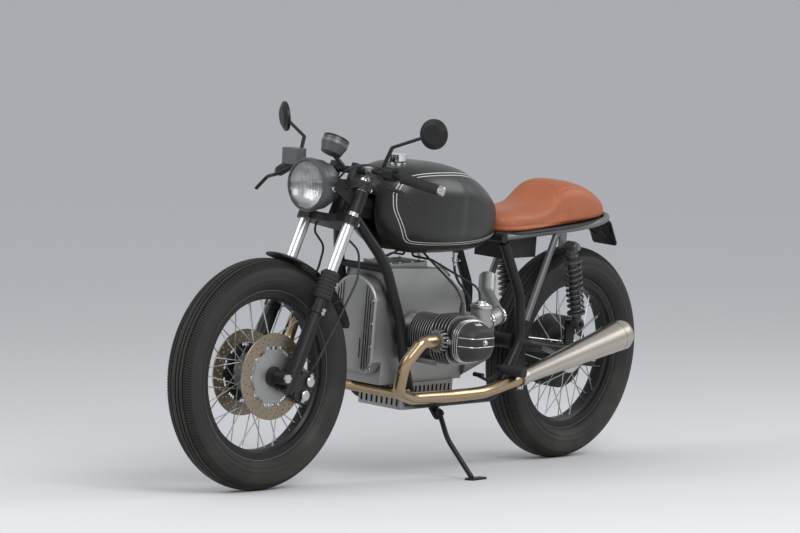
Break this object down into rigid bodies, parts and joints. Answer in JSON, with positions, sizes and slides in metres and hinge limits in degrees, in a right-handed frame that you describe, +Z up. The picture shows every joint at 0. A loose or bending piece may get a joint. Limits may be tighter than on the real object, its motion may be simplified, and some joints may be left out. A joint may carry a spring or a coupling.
{
  "type": "cafe racer motorcycle",
  "caption": "Cafe racer motorcycle with an air-cooled boxer engine, wire wheels, low bars and a humped leather seat, leaning on its side stand.",
  "frame": {"origin": "on the floor under the lowest point of the rear tyre, with the machine leaning on its side stand", "axes": "+X towards the front wheel, +Y to the rider's left, +Z up from the floor"},
  "size_m": [2.1493, 0.8048, 1.1445],
  "materials": {
    "tyre": "matt black rubber",
    "black_rim": "satin black powder coat",
    "wheel_alloy": "satin hubs and bright spokes",
    "disc_steel": "ground steel with a brown tint",
    "bright_steel": "bright zinc",
    "fork_chrome": "hard chrome",
    "cable_rubber": "satin black rubber",
    "black_metal": "satin black powder coat",
    "black_casting": "fine black wrinkle paint",
    "grey_paint": "satin dark grey",
    "lamp_black": "dark grey satin",
    "lamp_glass": "clear fluted glass",
    "reservoir_grey": "grey",
    "grip_rubber": "ribbed matt rubber",
    "engine_alloy": "bead-blasted cast alloy",
    "heated_steel": "bronze heat tint",
    "muffler_steel": "brushed along its length",
    "tank_black": "satin black with thin white lines",
    "cap_chrome": "polished",
    "seat_leather": "cognac hide",
    "box_black": "satin"
  },
  "bodies": {
    "chassis": {"balance_pipe": "heated_steel", "battery_box": "box_black", "carburettors": "engine_alloy", "cradle_rails": "black_metal", "crankcase": "engine_alloy", "cylinder_heads": "engine_alloy", "cylinders": "engine_alloy", "dampers": "black_metal", "down_tubes": "black_metal", "final_drive": "engine_alloy", "foot_controls": "black_metal", "frame_spine": "black_metal", "front_cover": "engine_alloy", "fuel_tank": "tank_black", "gearbox": "engine_alloy", "header_pipes": "heated_steel", "intake_tubes": "engine_alloy", "mufflers": "muffler_steel", "oil_pan": "engine_alloy", "pushrod_tubes": "engine_alloy", "rear_axle": "bright_steel", "rear_uprights": "black_metal", "seat": "seat_leather", "seat_rails": "grey_paint", "springs": "black_metal", "swingarm": "black_metal", "tail_bracket": "black_metal", "tank_cap": "cap_chrome", "throttle_cables": "cable_rubber", "valve_covers": "black_casting"},
    "fork": {"brake_hoses": "cable_rubber", "brake_reservoir": "reservoir_grey", "calipers": "black_casting", "front_axle": "bright_steel", "front_fender": "black_metal", "gauge": "lamp_black", "grips": "grip_rubber", "hand_levers": "black_metal", "handlebar": "black_metal", "headlamp_lens": "lamp_glass", "headlamp_shell": "lamp_black", "lamp_ears": "black_metal", "lower_yoke": "black_metal", "mirrors": "black_metal", "sliders": "black_metal", "stanchions": "fork_chrome", "upper_yoke": "black_casting"},
    "front_wheel": {"front_tyre": "tyre", "front_rim": "black_rim", "front_hub": "wheel_alloy", "brake_discs": "disc_steel"},
    "rear_wheel": {"rear_tyre": "tyre", "rear_rim": "black_rim", "rear_hub": "wheel_alloy"},
    "side_stand": {"side_stand": "black_metal"}
  },
  "joints": [
    {"name": "steering", "type": "hinge", "parent": "chassis", "child": "fork", "pos_m": [1.146, 0.07877, 0.84162], "axis": [-0.4228, 0.0845, 0.9023], "range_deg": [-30.3, 41.7]},
    {"name": "front_wheel_spin", "type": "hinge", "parent": "fork", "child": "front_wheel", "pos_m": [1.46457, 0.02462, 0.34762], "axis": [0.09, 0.9946, -0.051], "continuous": true},
    {"name": "rear_wheel_spin", "type": "hinge", "parent": "chassis", "child": "rear_wheel", "pos_m": [-0.00007, 0.03152, 0.33679], "axis": [0, 0.9956, -0.0932], "continuous": true},
    {"name": "side_stand_swing", "type": "hinge", "parent": "chassis", "child": "side_stand", "pos_m": [0.75496, 0.14684, 0.19558], "axis": [0.0539, 0.799, 0.5989], "range_deg": [0, 81.6]}
  ]
}
